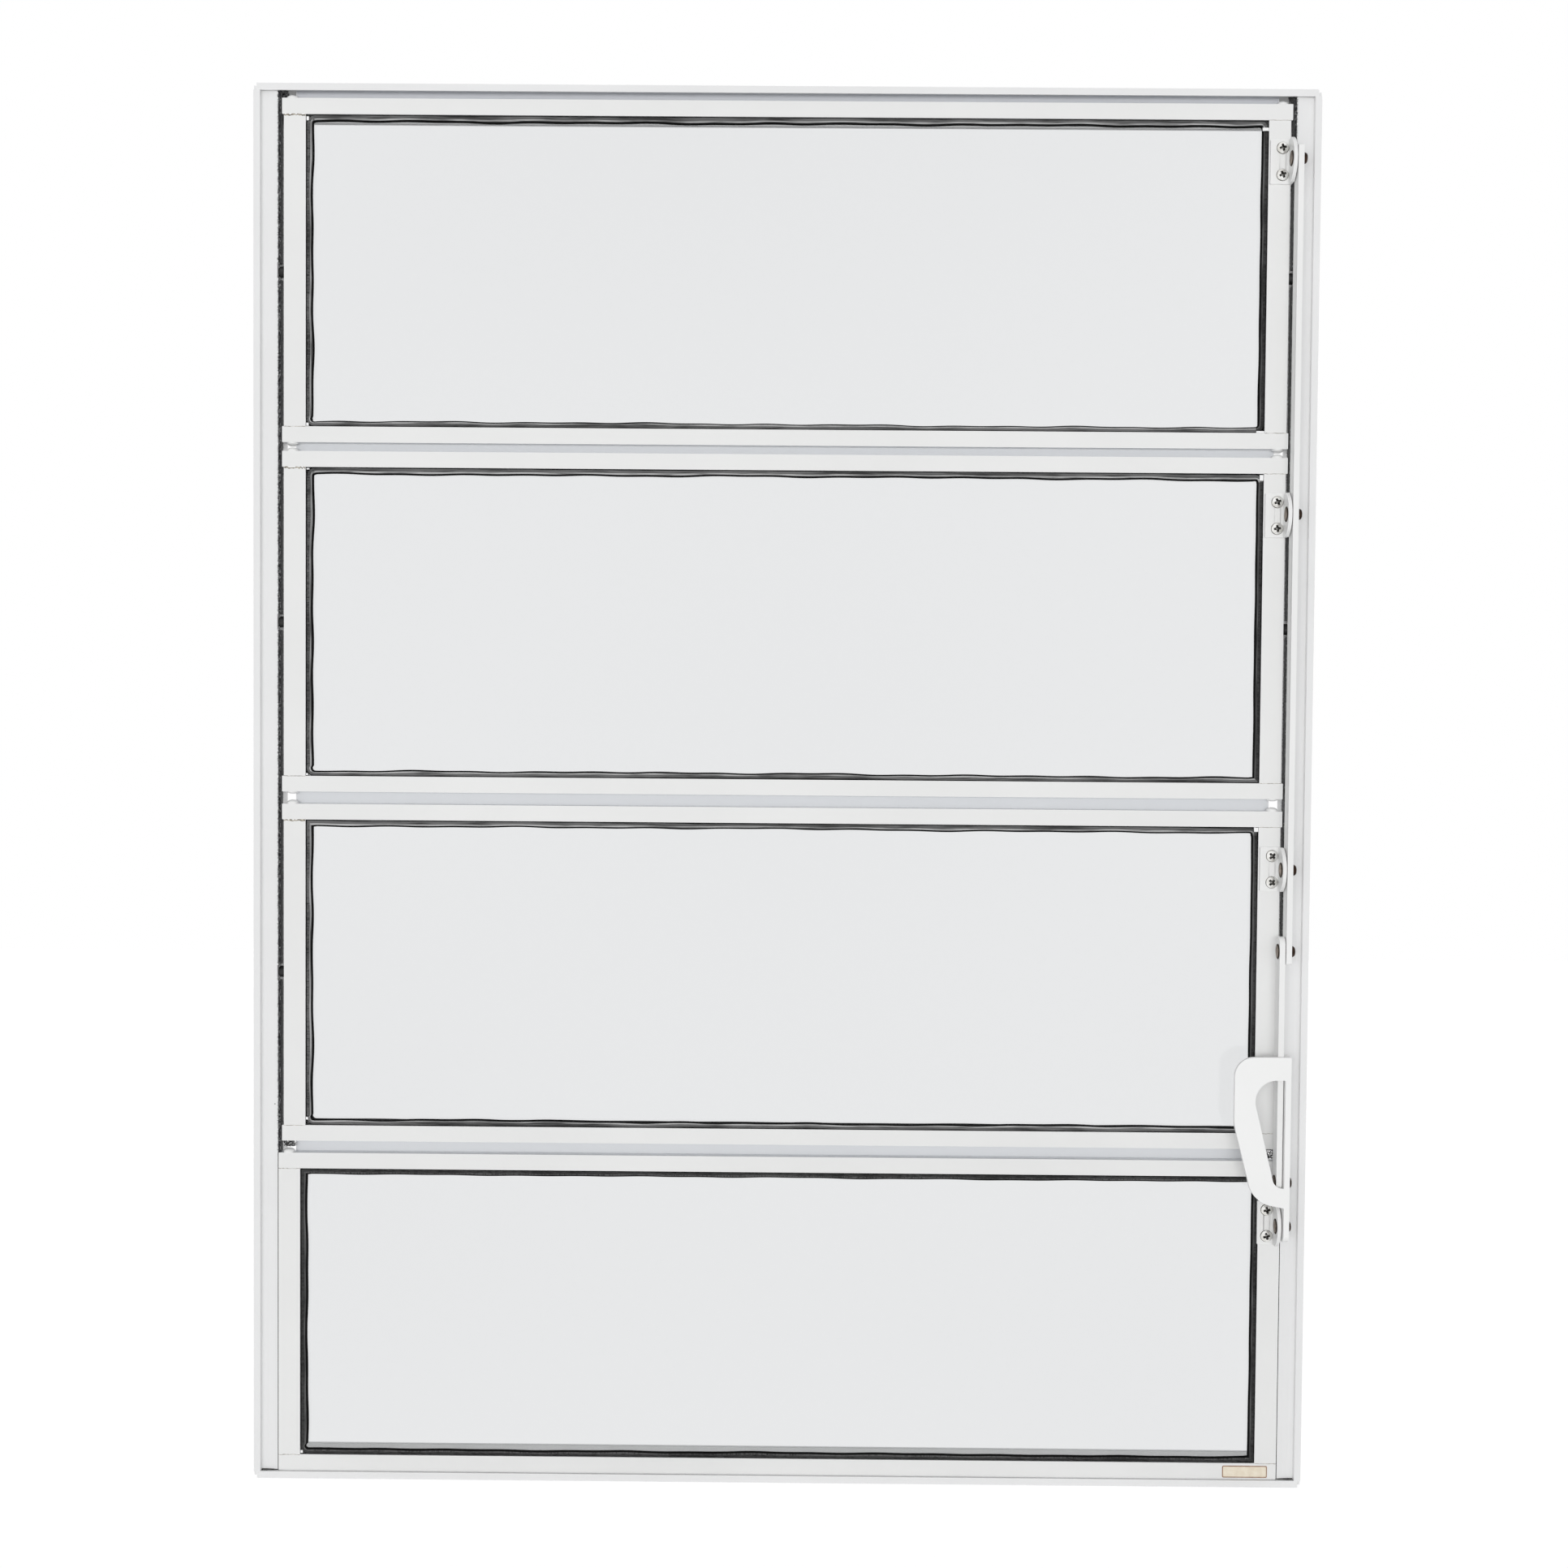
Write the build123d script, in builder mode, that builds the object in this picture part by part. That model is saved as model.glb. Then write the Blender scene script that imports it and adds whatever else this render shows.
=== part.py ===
"""White aluminium window with three pivoting sashes over a fixed panel, worked by one lever."""
import os

from build123d import *

# Outer frame, seen from the room: X to the right, Z up, and the room on the -Y side.
window_width = 600.0
window_height = 793.0
frame_depth = 42.0
frame_wall = 1.4
flange_height = 3.9
jamb_flange = 3.7
jamb_width = 13.5
jamb_box_depth = 24.0
cove_depth_outside = 3.3
cove_depth_inside = 2.3
cove_hollow = 0.3
back_flange = 9.0
head_inset = 1.7
head_back_leg = 12.0
sill_back_leg = 7.0
seat_height = 4.2
seat_front = 2.5
seat_back = 24.0
joint_clearance = 0.2

# Sashes and fixed panel
sash_count = 3
sash_depth = 20.0
sash_setback = 2.0
stile_width = 12.3
rail_height = 9.0
rail_overhang = 1.0
sash_side_gap = 3.2
head_gap = 3.8
first_gap = 4.9
sash_gap = 6.9
fixed_panel_height = 183.5
profile_wall = 1.4
profile_web = 1.2
channel_depth = 4.8
channel_width = 8.0
nose_depth = 6.4
rebate_depth = 3.4
fin_wall = 1.4
fin_clearance = 0.5
fin_overlap = 2.6
fin_cutback = 6.3

# Glazing
glass_thickness = 4.0
glass_bite = 3.4
gasket_bite = 4.6
gasket_sight = 4.4
gasket_proud = 0.9
gasket_bevel = 0.6

# Brush pile in the jambs
groove_front = 5.0
groove_width = 5.0
groove_depth = 2.4
groove_lip = 0.9
groove_lip_depth = 0.8
groove_wall = 1.3
pile_fit = 0.1
pile_tip_gap = 0.3
pile_break = 9.3

# Pivots at half the height of each sash
pivot_diameter = 4.8
pivot_fit = 0.06
pivot_into_stile = 5.0
pivot_into_jamb = 4.5
shoulder_diameter = 6.4
shoulder_gap = 0.1
notch_height = 8.6
notch_width = 0.6

# Brackets, cut from an extruded angle
bracket_height = 24.8
bracket_wall = 2.0
ear_reach = 13.0
ear_end_reach = 5.0
bracket_bend = 0.8
bracket_inset = 0.6
fixed_bracket_overhang = 0.9
bracket_screw_hole = 3.4
bracket_screw_spacing = 15.0
bracket_screw_inset = 5.6
bracket_above_pivot = 63.8
fixed_bracket_rise = 0.3
ear_overhang = 0.5

# Drive bar and link
bar_width = 9.5
bar_thickness = 3.2
bar_end = 7.0
bar_corner = 0.8
rivet_reach = 7.0
linkage_gap = 0.7
link_end = 8.5
link_end_flat = 0.1
link_below_arm = 46.0

# Rivets
rivet_shank = 4.0
rivet_fit = 0.06
rivet_head = 8.4
rivet_head_end = 5.6
rivet_head_height = 1.2
rivet_tail = 7.0
rivet_tail_end = 5.0
rivet_tail_height = 2.5

# Lever and its D-shaped grip
lever_below_panel_top = 35.1
link_crank = 25.0
lever_depth = 12.7
lever_end = 8.0
lever_end_corner = 5.0
lever_clearance = 0.45
grip_wall = 2.8
grip_width = 31.8
grip_height = 86.0
grip_above_pivot = 11.3
grip_straight_side = 38.0
grip_foot_width = 20.6
grip_foot_rise = 4.1
grip_top_radius = 11.0
grip_side_radius = 25.0
grip_foot_radius = 16.0
grip_top_band = 13.0
grip_bottom_band = 11.8
opening_top_width = 20.0
opening_bottom_width = 5.3
opening_top_radius = 12.0
opening_bottom_radius = 6.0

# Places worked out from the sizes above
half_width = window_width / 2
head_half = half_width - head_inset
frame_front = -frame_depth / 2
frame_back = frame_depth / 2
jamb_inner = half_width - jamb_width
jamb_bottom = frame_wall
jamb_top = window_height - frame_wall
sash_front = frame_front + sash_setback
sash_back = sash_front + sash_depth
sash_half = jamb_inner - sash_side_gap
panel_half = jamb_inner - joint_clearance
panel_bottom = seat_height
panel_top = panel_bottom + fixed_panel_height
first_sash_top = window_height - flange_height - head_gap
gaps_below = [first_gap] + [sash_gap] * (sash_count - 1)
sash_height = (first_sash_top - panel_top - sum(gaps_below)) / sash_count
sash_tops = [first_sash_top - i * sash_height - sum(gaps_below[:i]) for i in range(sash_count)]
pivot_heights = [top - sash_height / 2 for top in sash_tops]
fin_front = sash_front + nose_depth + fin_clearance
fin_half = sash_half + rail_overhang - fin_cutback
groove_middle = frame_front + groove_front + groove_width / 2
rivet_line = sash_front - bracket_wall - rivet_reach
ear_right_face = sash_half + ear_overhang
ear_left_face = ear_right_face - bracket_wall
bar_left_face = ear_right_face + linkage_gap
bar_right_face = bar_left_face + bar_thickness
link_left_face = ear_right_face + joint_clearance - bar_thickness
bar_front = rivet_line - bar_width / 2
grip_back = bar_front - lever_clearance
grip_front = grip_back - grip_wall
arm_heights = [height + bracket_above_pivot for height in pivot_heights]
lever_pivot_height = panel_top - lever_below_panel_top
crank_height = lever_pivot_height + link_crank
link_top_rivet = arm_heights[-1] - link_below_arm
link_corner = bar_width / 2 - link_end_flat
fixed_bracket_middle = lever_pivot_height + fixed_bracket_rise
grip_left = bar_right_face - grip_width
grip_bottom = lever_pivot_height + grip_above_pivot
grip_top = grip_bottom + grip_height
opening_bottom = grip_bottom + grip_bottom_band
opening_top = grip_top - grip_top_band

# Sections of level extrusions: the sketch's x is height and its y is depth.
across = Plane(origin=(0, 0, 0), x_dir=(0, 0, 1), z_dir=(-1, 0, 0))
overcut = 1.0

os.makedirs("parts", exist_ok=True)


def save(builder, name):
    """Label a finished piece and write it as a STEP file."""
    builder.part.label = name
    export_step(builder.part, f"parts/{name}.step")


def block(x_from, x_to, y_from, y_to, mode=Mode.ADD):
    """A rectangle given by its four sides."""
    with Locations((min(x_from, x_to), min(y_from, y_to))):
        Rectangle(abs(x_to - x_from), abs(y_to - y_from), align=(Align.MIN, Align.MIN), mode=mode)


def jamb_section():
    """The left jamb: a coved hollow box with a front flange, a pile groove and a back flange."""
    outer = -half_width
    inner = -jamb_inner
    step = outer + jamb_flange
    box_back = frame_front + jamb_box_depth
    cove_start = (step, frame_front + cove_depth_outside)
    cove_end = (inner, frame_front + cove_depth_inside)
    cove_middle = ((step + inner) / 2, (cove_start[1] + cove_end[1]) / 2 + cove_hollow)
    with BuildLine() as outline:
        Polyline(cove_end, (inner, box_back), (outer, box_back), (outer, frame_front),
                 (step, frame_front), cove_start)
        ThreePointArc(cove_start, cove_middle, cove_end)
    make_face(outline.edges())
    block(outer, outer + frame_wall, box_back, frame_back)
    block(outer, outer + back_flange, frame_back - frame_wall, frame_back)
    groove_near = frame_front + groove_front
    groove_far = groove_near + groove_width
    groove_floor = inner - groove_depth
    hollow_front = frame_front + cove_depth_outside + frame_wall
    hollow_back = box_back - frame_wall
    block(outer + frame_wall, groove_floor - groove_wall, hollow_front, hollow_back, Mode.SUBTRACT)
    block(groove_floor - groove_wall, inner - frame_wall, groove_far + groove_wall, hollow_back,
          Mode.SUBTRACT)
    block(groove_floor, inner - groove_lip, groove_near, groove_far, Mode.SUBTRACT)
    block(inner - groove_lip, inner + overcut, groove_near + groove_lip_depth,
          groove_far - groove_lip_depth, Mode.SUBTRACT)


def glazed_section(edge, into, width, nosed=False):
    """A sash extrusion: glass channel, front and back chambers, and on a top rail a nose."""
    near = sash_front
    far = sash_back
    channel_floor = edge + into * (width - channel_depth)
    channel_back = near + profile_wall + channel_width
    back_top = edge
    front_chamber_back = channel_back
    block(edge, edge + into * width, near, far)
    if nosed:
        back_top = edge + into * rebate_depth
        front_chamber_back = near + nose_depth - profile_wall
        block(edge - into * overcut, back_top, near + nose_depth, far + overcut, Mode.SUBTRACT)
    block(channel_floor, edge + into * (width + overcut), near + profile_wall, channel_back,
          Mode.SUBTRACT)
    block(edge + into * profile_wall, channel_floor - into * profile_web, near + profile_wall,
          front_chamber_back, Mode.SUBTRACT)
    block(back_top + into * profile_wall, edge + into * (width - profile_wall),
          channel_back + profile_wall, far - profile_wall, Mode.SUBTRACT)


def make_head():
    """Top member of the frame, with the fin that closes the gap over the first sash."""
    top = window_height
    with BuildPart() as head:
        with BuildSketch(across):
            block(top, top - frame_wall, frame_front, frame_back)
            block(top, top - flange_height, frame_front, frame_front + frame_wall)
        extrude(amount=head_half, both=True)
        with BuildSketch(across):
            block(top, top - head_back_leg, frame_back - frame_wall, frame_back)
        extrude(amount=half_width - back_flange - joint_clearance, both=True)
        with BuildSketch(across):
            block(top, first_sash_top - fin_overlap, fin_front, fin_front + fin_wall)
        extrude(amount=fin_half, both=True)
    save(head, "frame_head")


def make_sill():
    """Bottom member of the frame, with the hollow seat that the fixed panel stands on."""
    with BuildPart() as sill:
        with BuildSketch(across):
            block(0, frame_wall, frame_front, frame_back)
            block(0, flange_height, frame_front, frame_front + frame_wall)
        extrude(amount=head_half, both=True)
        with BuildSketch(across):
            block(0, sill_back_leg, frame_back - frame_wall, frame_back)
        extrude(amount=half_width - back_flange - joint_clearance, both=True)
        with BuildSketch(across):
            block(0, seat_height, frame_front + seat_front, frame_front + seat_back)
            block(frame_wall, seat_height - frame_wall, frame_front + seat_front + frame_wall,
                  frame_front + seat_back - frame_wall, Mode.SUBTRACT)
        extrude(amount=panel_half, both=True)
    save(sill, "frame_sill")


def make_jambs():
    """Side members, with pivot holes and notches, cut back behind the head and sill flanges."""
    flange_space = frame_wall + pile_fit
    with BuildPart() as left:
        with BuildSketch(Plane.XY.offset(jamb_bottom)):
            jamb_section()
        extrude(amount=jamb_top - jamb_bottom)
        for z_from, z_to in ((0, flange_height), (window_height - flange_height, window_height)):
            with BuildSketch(Plane.XY.offset(z_from)):
                block(-half_width - overcut, -jamb_inner + overcut, frame_front - overcut,
                      frame_front + flange_space)
            extrude(amount=z_to - z_from, mode=Mode.SUBTRACT)
        for height in pivot_heights:
            with Locations(Location((-jamb_inner, groove_middle, height), (0, 90, 0))):
                Cylinder(pivot_diameter / 2 + pivot_fit, 2 * (groove_depth + groove_wall + overcut),
                         mode=Mode.SUBTRACT)
            with BuildSketch(Plane.XY.offset(height - notch_height / 2)):
                block(-jamb_inner - notch_width, -jamb_inner + overcut, frame_front,
                      frame_front + groove_front + groove_lip_depth)
            extrude(amount=notch_height, mode=Mode.SUBTRACT)
    save(left, "frame_jamb_left")
    with BuildPart() as right:
        mirror(left.part, about=Plane.YZ)
    save(right, "frame_jamb_right")


def make_pile():
    """Brush pile in the jamb grooves, in lengths that stop short of each pivot."""
    floor = -jamb_inner - groove_depth
    near = frame_front + groove_front
    far = near + groove_width
    tip = -(sash_half + rail_overhang + pile_tip_gap)
    breaks = sorted(height + side * pile_break / 2 for height in pivot_heights for side in (-1, 1))
    ends = [panel_top] + breaks + [window_height - flange_height]
    with BuildPart() as left:
        for z_from, z_to in zip(ends[::2], ends[1::2]):
            with BuildSketch(Plane.XY.offset(z_from)):
                block(floor, -jamb_inner - groove_lip - pile_fit, near + pile_fit, far - pile_fit)
                block(floor, tip, near + groove_lip_depth + pile_fit,
                      far - groove_lip_depth - pile_fit)
            extrude(amount=z_to - z_from)
    save(left, "brush_pile_left")
    with BuildPart() as right:
        mirror(left.part, about=Plane.YZ)
    save(right, "brush_pile_right")


def make_glazing(prefix, half, bottom, top):
    """The pane and the channel gasket round it, for a daylight opening of these sides."""
    middle = (bottom + top) / 2
    height = top - bottom
    channel_back = sash_front + profile_wall + channel_width
    glass_back = channel_back - (channel_width - glass_thickness) / 2
    lip_back = sash_front + profile_wall
    with BuildPart() as glass:
        with BuildSketch(Plane.XZ.offset(-glass_back)):
            with Locations((0, middle)):
                Rectangle(2 * (half + glass_bite), height + 2 * glass_bite)
        extrude(amount=glass_thickness)
    save(glass, f"{prefix}_glass")
    with BuildPart() as gasket:
        with BuildSketch(Plane.XZ.offset(-channel_back)):
            with Locations((0, middle)):
                Rectangle(2 * (half + gasket_bite), height + 2 * gasket_bite)
                Rectangle(2 * (half - gasket_sight), height - 2 * gasket_sight, mode=Mode.SUBTRACT)
        extrude(amount=channel_width)
        with BuildSketch(Plane.XZ.offset(-lip_back)):
            with Locations((0, middle)):
                Rectangle(2 * (half - pile_fit), height - 2 * pile_fit)
                Rectangle(2 * (half - gasket_sight), height - 2 * gasket_sight, mode=Mode.SUBTRACT)
        extrude(amount=gasket_proud)
        rim = gasket.faces().filter_by(Axis.Y).sort_by(Axis.Y)[0]
        chamfer(rim.edges(), length=gasket_bevel)
        add(glass.part, mode=Mode.SUBTRACT)
    save(gasket, f"{prefix}_gasket")


def make_stiles(prefix, half, bottom, top, pivot_height=None):
    """The two upright members of a sash or of the fixed panel."""
    with BuildPart() as left:
        with BuildSketch(Plane.XY.offset(bottom)):
            glazed_section(-half, 1, stile_width)
        extrude(amount=top - bottom)
        if pivot_height is not None:
            with Locations(Location((-half, groove_middle, pivot_height), (0, 90, 0))):
                Cylinder(shoulder_diameter / 2 + pivot_fit, 2 * (profile_wall + overcut),
                         mode=Mode.SUBTRACT)
    save(left, f"{prefix}_stile_left")
    with BuildPart() as right:
        mirror(left.part, about=Plane.YZ)
    save(right, f"{prefix}_stile_right")


def make_rails(prefix, half, bottom, top, fin_drop=0):
    """The nosed top rail and the bottom rail, which carries a fin over the gap below it."""
    with BuildPart() as top_rail:
        with BuildSketch(across):
            glazed_section(top, -1, rail_height, nosed=True)
        extrude(amount=half, both=True)
    save(top_rail, f"{prefix}_top_rail")
    with BuildPart() as bottom_rail:
        with BuildSketch(across):
            glazed_section(bottom, 1, rail_height)
        extrude(amount=half, both=True)
        if fin_drop:
            with BuildSketch(across):
                block(bottom - fin_drop, bottom + profile_wall, fin_front, fin_front + fin_wall)
            extrude(amount=fin_half, both=True)
    save(bottom_rail, f"{prefix}_bottom_rail")


def make_bracket(name, middle, inner_edge, rivet_height):
    """A short angle: its plate is screwed to the stile and its bulged ear carries a rivet."""
    low = middle - bracket_height / 2
    high = middle + bracket_height / 2
    plate_front = sash_front - bracket_wall
    ear_front = plate_front - ear_reach
    ear_end = plate_front - ear_end_reach
    with BuildPart() as bracket:
        with BuildSketch(Plane.XZ.offset(-sash_front)):
            block(inner_edge, ear_right_face, low, high)
        extrude(amount=bracket_wall)
        with BuildSketch(Plane.YZ.offset(ear_left_face)):
            with BuildLine():
                Polyline((ear_end, high), (sash_front, high), (sash_front, low), (ear_end, low))
                ThreePointArc((ear_end, low), (ear_front, middle), (ear_end, high))
            make_face()
        extrude(amount=bracket_wall)
        corner = bracket.edges().filter_by(Axis.Z).sort_by_distance((ear_left_face, plate_front, middle))[0]
        fillet(corner, radius=bracket_bend)
        with Locations(Location((ear_left_face, rivet_line, rivet_height), (0, 90, 0))):
            Cylinder(rivet_shank / 2 + rivet_fit, 2 * (bracket_wall + overcut), mode=Mode.SUBTRACT)
        screw_x = ear_right_face - bracket_screw_inset
        for side in (-1, 1):
            screw_z = middle + side * bracket_screw_spacing / 2
            with Locations(Location((screw_x, plate_front, screw_z), (90, 0, 0))):
                Cylinder(bracket_screw_hole / 2, 2 * (bracket_wall + overcut), mode=Mode.SUBTRACT)
    save(bracket, name)


def make_pivots(name, height):
    """A pair of shouldered pins, from the hollow of each jamb into the hollow of each stile."""
    outer_end = -(jamb_inner + pivot_into_jamb)
    shoulder = -(jamb_inner - shoulder_gap)
    inner_end = -(sash_half - pivot_into_stile)
    steps = ((outer_end, shoulder, pivot_diameter), (shoulder, inner_end, shoulder_diameter))
    with BuildPart() as pivots:
        for x_from, x_to, diameter in steps:
            with BuildSketch(Plane.YZ.offset(x_from)):
                with Locations((groove_middle, height)):
                    Circle(diameter / 2)
            extrude(amount=x_to - x_from)
        mirror(about=Plane.YZ)
    save(pivots, name)


def rivet(left_face, height):
    """One rivet through two flat pieces, with its head on the left and its tail past the drive bar."""
    radius = rivet_shank / 2
    axis_line = Axis((0, rivet_line, height), (1, 0, 0))
    head_face = left_face - rivet_head_height
    tail_face = bar_right_face + rivet_tail_height
    with BuildSketch(Plane.XZ.offset(-rivet_line)) as profile:
        with BuildLine():
            Polyline((head_face, height), (head_face, height + rivet_head_end / 2),
                     (left_face, height + rivet_head / 2), (left_face, height + radius),
                     (bar_right_face, height + radius), (bar_right_face, height + rivet_tail / 2),
                     (tail_face, height + rivet_tail_end / 2), (tail_face, height), close=True)
        make_face()
    revolve(profile.sketch, axis=axis_line)


def make_rivets():
    """The rivets of the sash arms, of the link's two ends and of the lever's pivot."""
    with BuildPart() as arm_rivets:
        for height in arm_heights:
            rivet(ear_left_face, height)
    save(arm_rivets, "sash_arm_rivets")
    with BuildPart() as link_rivets:
        for height in (crank_height, link_top_rivet):
            rivet(link_left_face, height)
    save(link_rivets, "link_rivets")
    with BuildPart() as lever_pivot:
        rivet(ear_left_face, lever_pivot_height)
    save(lever_pivot, "lever_pivot_rivet")


def rivet_hole(face, height):
    """A hole for a rivet's shank through the flat piece whose left face is at this X."""
    with Locations(Location((face, rivet_line, height), (0, 90, 0))):
        Cylinder(rivet_shank / 2 + rivet_fit, 2 * (bar_thickness + overcut), mode=Mode.SUBTRACT)


def flat_bar(face, low, high):
    """A flat bar on edge, standing between two heights."""
    with BuildSketch(Plane.YZ.offset(face)) as section:
        block(rivet_line - bar_width / 2, rivet_line + bar_width / 2, low, high)
    extrude(section.sketch, amount=bar_thickness)


def make_drive_bar():
    """The upright bar that joins the three sash arms."""
    with BuildPart() as bar:
        flat_bar(bar_left_face, link_top_rivet - bar_end, arm_heights[0] + bar_end)
        chamfer(bar.edges().filter_by(Axis.X), length=bar_corner)
        for height in arm_heights + [link_top_rivet]:
            rivet_hole(bar_left_face, height)
    save(bar, "drive_bar")


def make_link():
    """The short bar from the lever to the drive bar, with rounded ends."""
    with BuildPart() as link:
        flat_bar(link_left_face, crank_height - bar_width / 2, link_top_rivet + link_end)
        fillet(link.edges().filter_by(Axis.X), radius=link_corner)
        for height in (crank_height, link_top_rivet):
            rivet_hole(link_left_face, height)
    save(link, "link_bar")


def make_lever():
    """The lever: an angle whose front leg is cut to a D-shaped grip."""
    right = bar_right_face
    leg_bottom = lever_pivot_height - lever_end
    foot = (right - grip_foot_width, grip_bottom + grip_foot_rise)
    opening_top_left = (bar_left_face - opening_top_width, opening_top)
    opening_bottom_left = (bar_left_face - opening_bottom_width, opening_bottom)
    with BuildPart() as lever:
        with BuildSketch(Plane.YZ.offset(bar_left_face)):
            block(grip_front, grip_front + lever_depth, leg_bottom, grip_top)
        extrude(amount=bar_thickness)
        fillet(lever.edges().filter_by(Axis.X).group_by(Axis.Z)[0], radius=lever_end_corner)
        with BuildSketch(Plane.XZ.offset(-grip_back)):
            with BuildLine():
                FilletPolyline((right, grip_top), (grip_left, grip_top),
                               (grip_left, grip_top - grip_straight_side), foot, (right, grip_bottom),
                               radius=(grip_top_radius, grip_side_radius, grip_foot_radius))
                Line((right, grip_bottom), (right, grip_top))
            make_face()
            with BuildLine():
                FilletPolyline((bar_left_face, opening_top), opening_top_left, opening_bottom_left,
                               (bar_left_face, opening_bottom),
                               radius=(opening_top_radius, opening_bottom_radius))
                Line((bar_left_face, opening_bottom), (bar_left_face, opening_top))
            make_face(mode=Mode.SUBTRACT)
        extrude(amount=grip_wall)
        for height in (lever_pivot_height, crank_height):
            rivet_hole(bar_left_face, height)
    save(lever, "handle_lever")


def make_sash(number, top):
    """One pivoting sash with its pane, gasket, pivots and arm bracket."""
    prefix = f"sash_{number + 1}"
    bottom = top - sash_height
    opening_half = sash_half - stile_width
    make_rails(prefix, sash_half + rail_overhang, bottom, top, gaps_below[number] + fin_overlap)
    make_stiles(prefix, sash_half, bottom + rail_height, top - rail_height, pivot_heights[number])
    make_glazing(prefix, opening_half, bottom + rail_height, top - rail_height)
    make_pivots(f"{prefix}_pivots", pivot_heights[number])
    make_bracket(f"{prefix}_bracket", arm_heights[number], opening_half + bracket_inset,
                 arm_heights[number])


def make_fixed_panel():
    """The panel below the sashes, which stands on the sill and carries the lever's bracket."""
    opening_half = panel_half - stile_width
    low = panel_bottom + rail_height
    high = panel_top - rail_height
    make_rails("fixed", panel_half, panel_bottom, panel_top)
    make_stiles("fixed", panel_half, low, high)
    make_glazing("fixed", opening_half, low, high)
    make_bracket("fixed_bracket", fixed_bracket_middle, opening_half - fixed_bracket_overhang,
                 lever_pivot_height)


make_head()
make_sill()
make_jambs()
make_pile()
make_fixed_panel()
for index, sash_top in enumerate(sash_tops):
    make_sash(index, sash_top)
make_drive_bar()
make_link()
make_lever()
make_rivets()
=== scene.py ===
"""Looks of a white aluminium window: paint, glass, gaskets, brush pile, screws, rivets, light and camera."""
import math
import random

import bmesh
import bpy
from mathutils import Matrix, Vector


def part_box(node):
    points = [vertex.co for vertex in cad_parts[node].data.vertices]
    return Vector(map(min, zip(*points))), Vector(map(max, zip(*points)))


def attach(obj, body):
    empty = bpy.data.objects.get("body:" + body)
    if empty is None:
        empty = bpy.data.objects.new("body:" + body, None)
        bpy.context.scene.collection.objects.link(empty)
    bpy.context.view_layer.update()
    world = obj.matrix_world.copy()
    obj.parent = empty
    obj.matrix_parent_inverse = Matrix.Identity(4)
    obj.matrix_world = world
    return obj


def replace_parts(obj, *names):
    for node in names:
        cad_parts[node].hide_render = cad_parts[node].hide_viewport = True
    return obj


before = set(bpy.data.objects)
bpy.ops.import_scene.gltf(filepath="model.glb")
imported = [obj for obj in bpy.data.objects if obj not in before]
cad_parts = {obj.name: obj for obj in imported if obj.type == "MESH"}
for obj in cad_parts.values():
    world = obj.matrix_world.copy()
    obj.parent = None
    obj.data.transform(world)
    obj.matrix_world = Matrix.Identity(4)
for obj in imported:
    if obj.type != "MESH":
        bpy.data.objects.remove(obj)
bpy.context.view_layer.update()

MM = 0.001
PANELS = ("fixed", "sash_1", "sash_2", "sash_3")
SASHES = PANELS[1:]
SIDES = (-1, 1)

# Camera, fitted to the edges of the window in the photograph
CAMERA_PLACE = (6.8, -1178.3, 437.6)
CAMERA_TURNS = (-0.0316, -0.0078, 0.0048)
FOCAL_SHARE = 1.3020

# Profiles and fittings, in millimetres
RAIL_HEIGHT = 9.0
STILE_WIDTH = 12.3
GASKET_BITE = 4.6
BAR_END = 7.0
BAR_WIDTH = 9.5
LEVER_END = 8.0
BRACKET_WALL = 2.0
SCREW_INSET = 5.6
SCREW_SPACING = 15.0
SCREW_SHANK_RADIUS = 1.5
RAIL_SCREW_INSET = 5.4
RAIL_SCREW_DEPTH = 3.35
COVE_STEP = 296.0
COVE_EDGE = 286.5
COVE_FRONT = -18.7
SEALANT_HEIGHT = 1.5
UPPER_LINE_HEIGHT = 0.34
LOWER_LINE_HEIGHT = 0.4
LABEL_SIZE = (25.7, 6.9)
LABEL_FACE = (24.6, 5.8)
LABEL_INSET = 17.9
FRAME_EDGE = 0.25
HARDWARE_EDGE = 0.2

# Brush pile: lengths in millimetres, strands to a millimetre of height, and the share of pale ones
PILE_BREAK = 9.3
PILE_SPREAD = 4.2
PILE_MARGIN = 0.8
PILE_FRONT = 0.9
DEEP_SHARE = 0.35
PILE_DENSITY = 34
FRINGE_DENSITY = 9
TUFT_STRANDS = 420
TUFT_DEPTHS = (-15.4, -13.9)
STRAND_HALF_WIDTHS = (0.06, 0.13)
TUFT_HALF_WIDTHS = (0.12, 0.26)
PALE_SHARE = 0.16

# Where the shade of the recesses is measured from, and over what depth, in metres
FRAME_FRONT = 0.021
RECESS_SPAN = 0.025

# The room, in metres
FLOOR_REACH = 2.6
FLOOR_GAP = 0.0002
WINDOW_MIDDLE = (0, 0, 0.4)


# Node helpers

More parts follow.
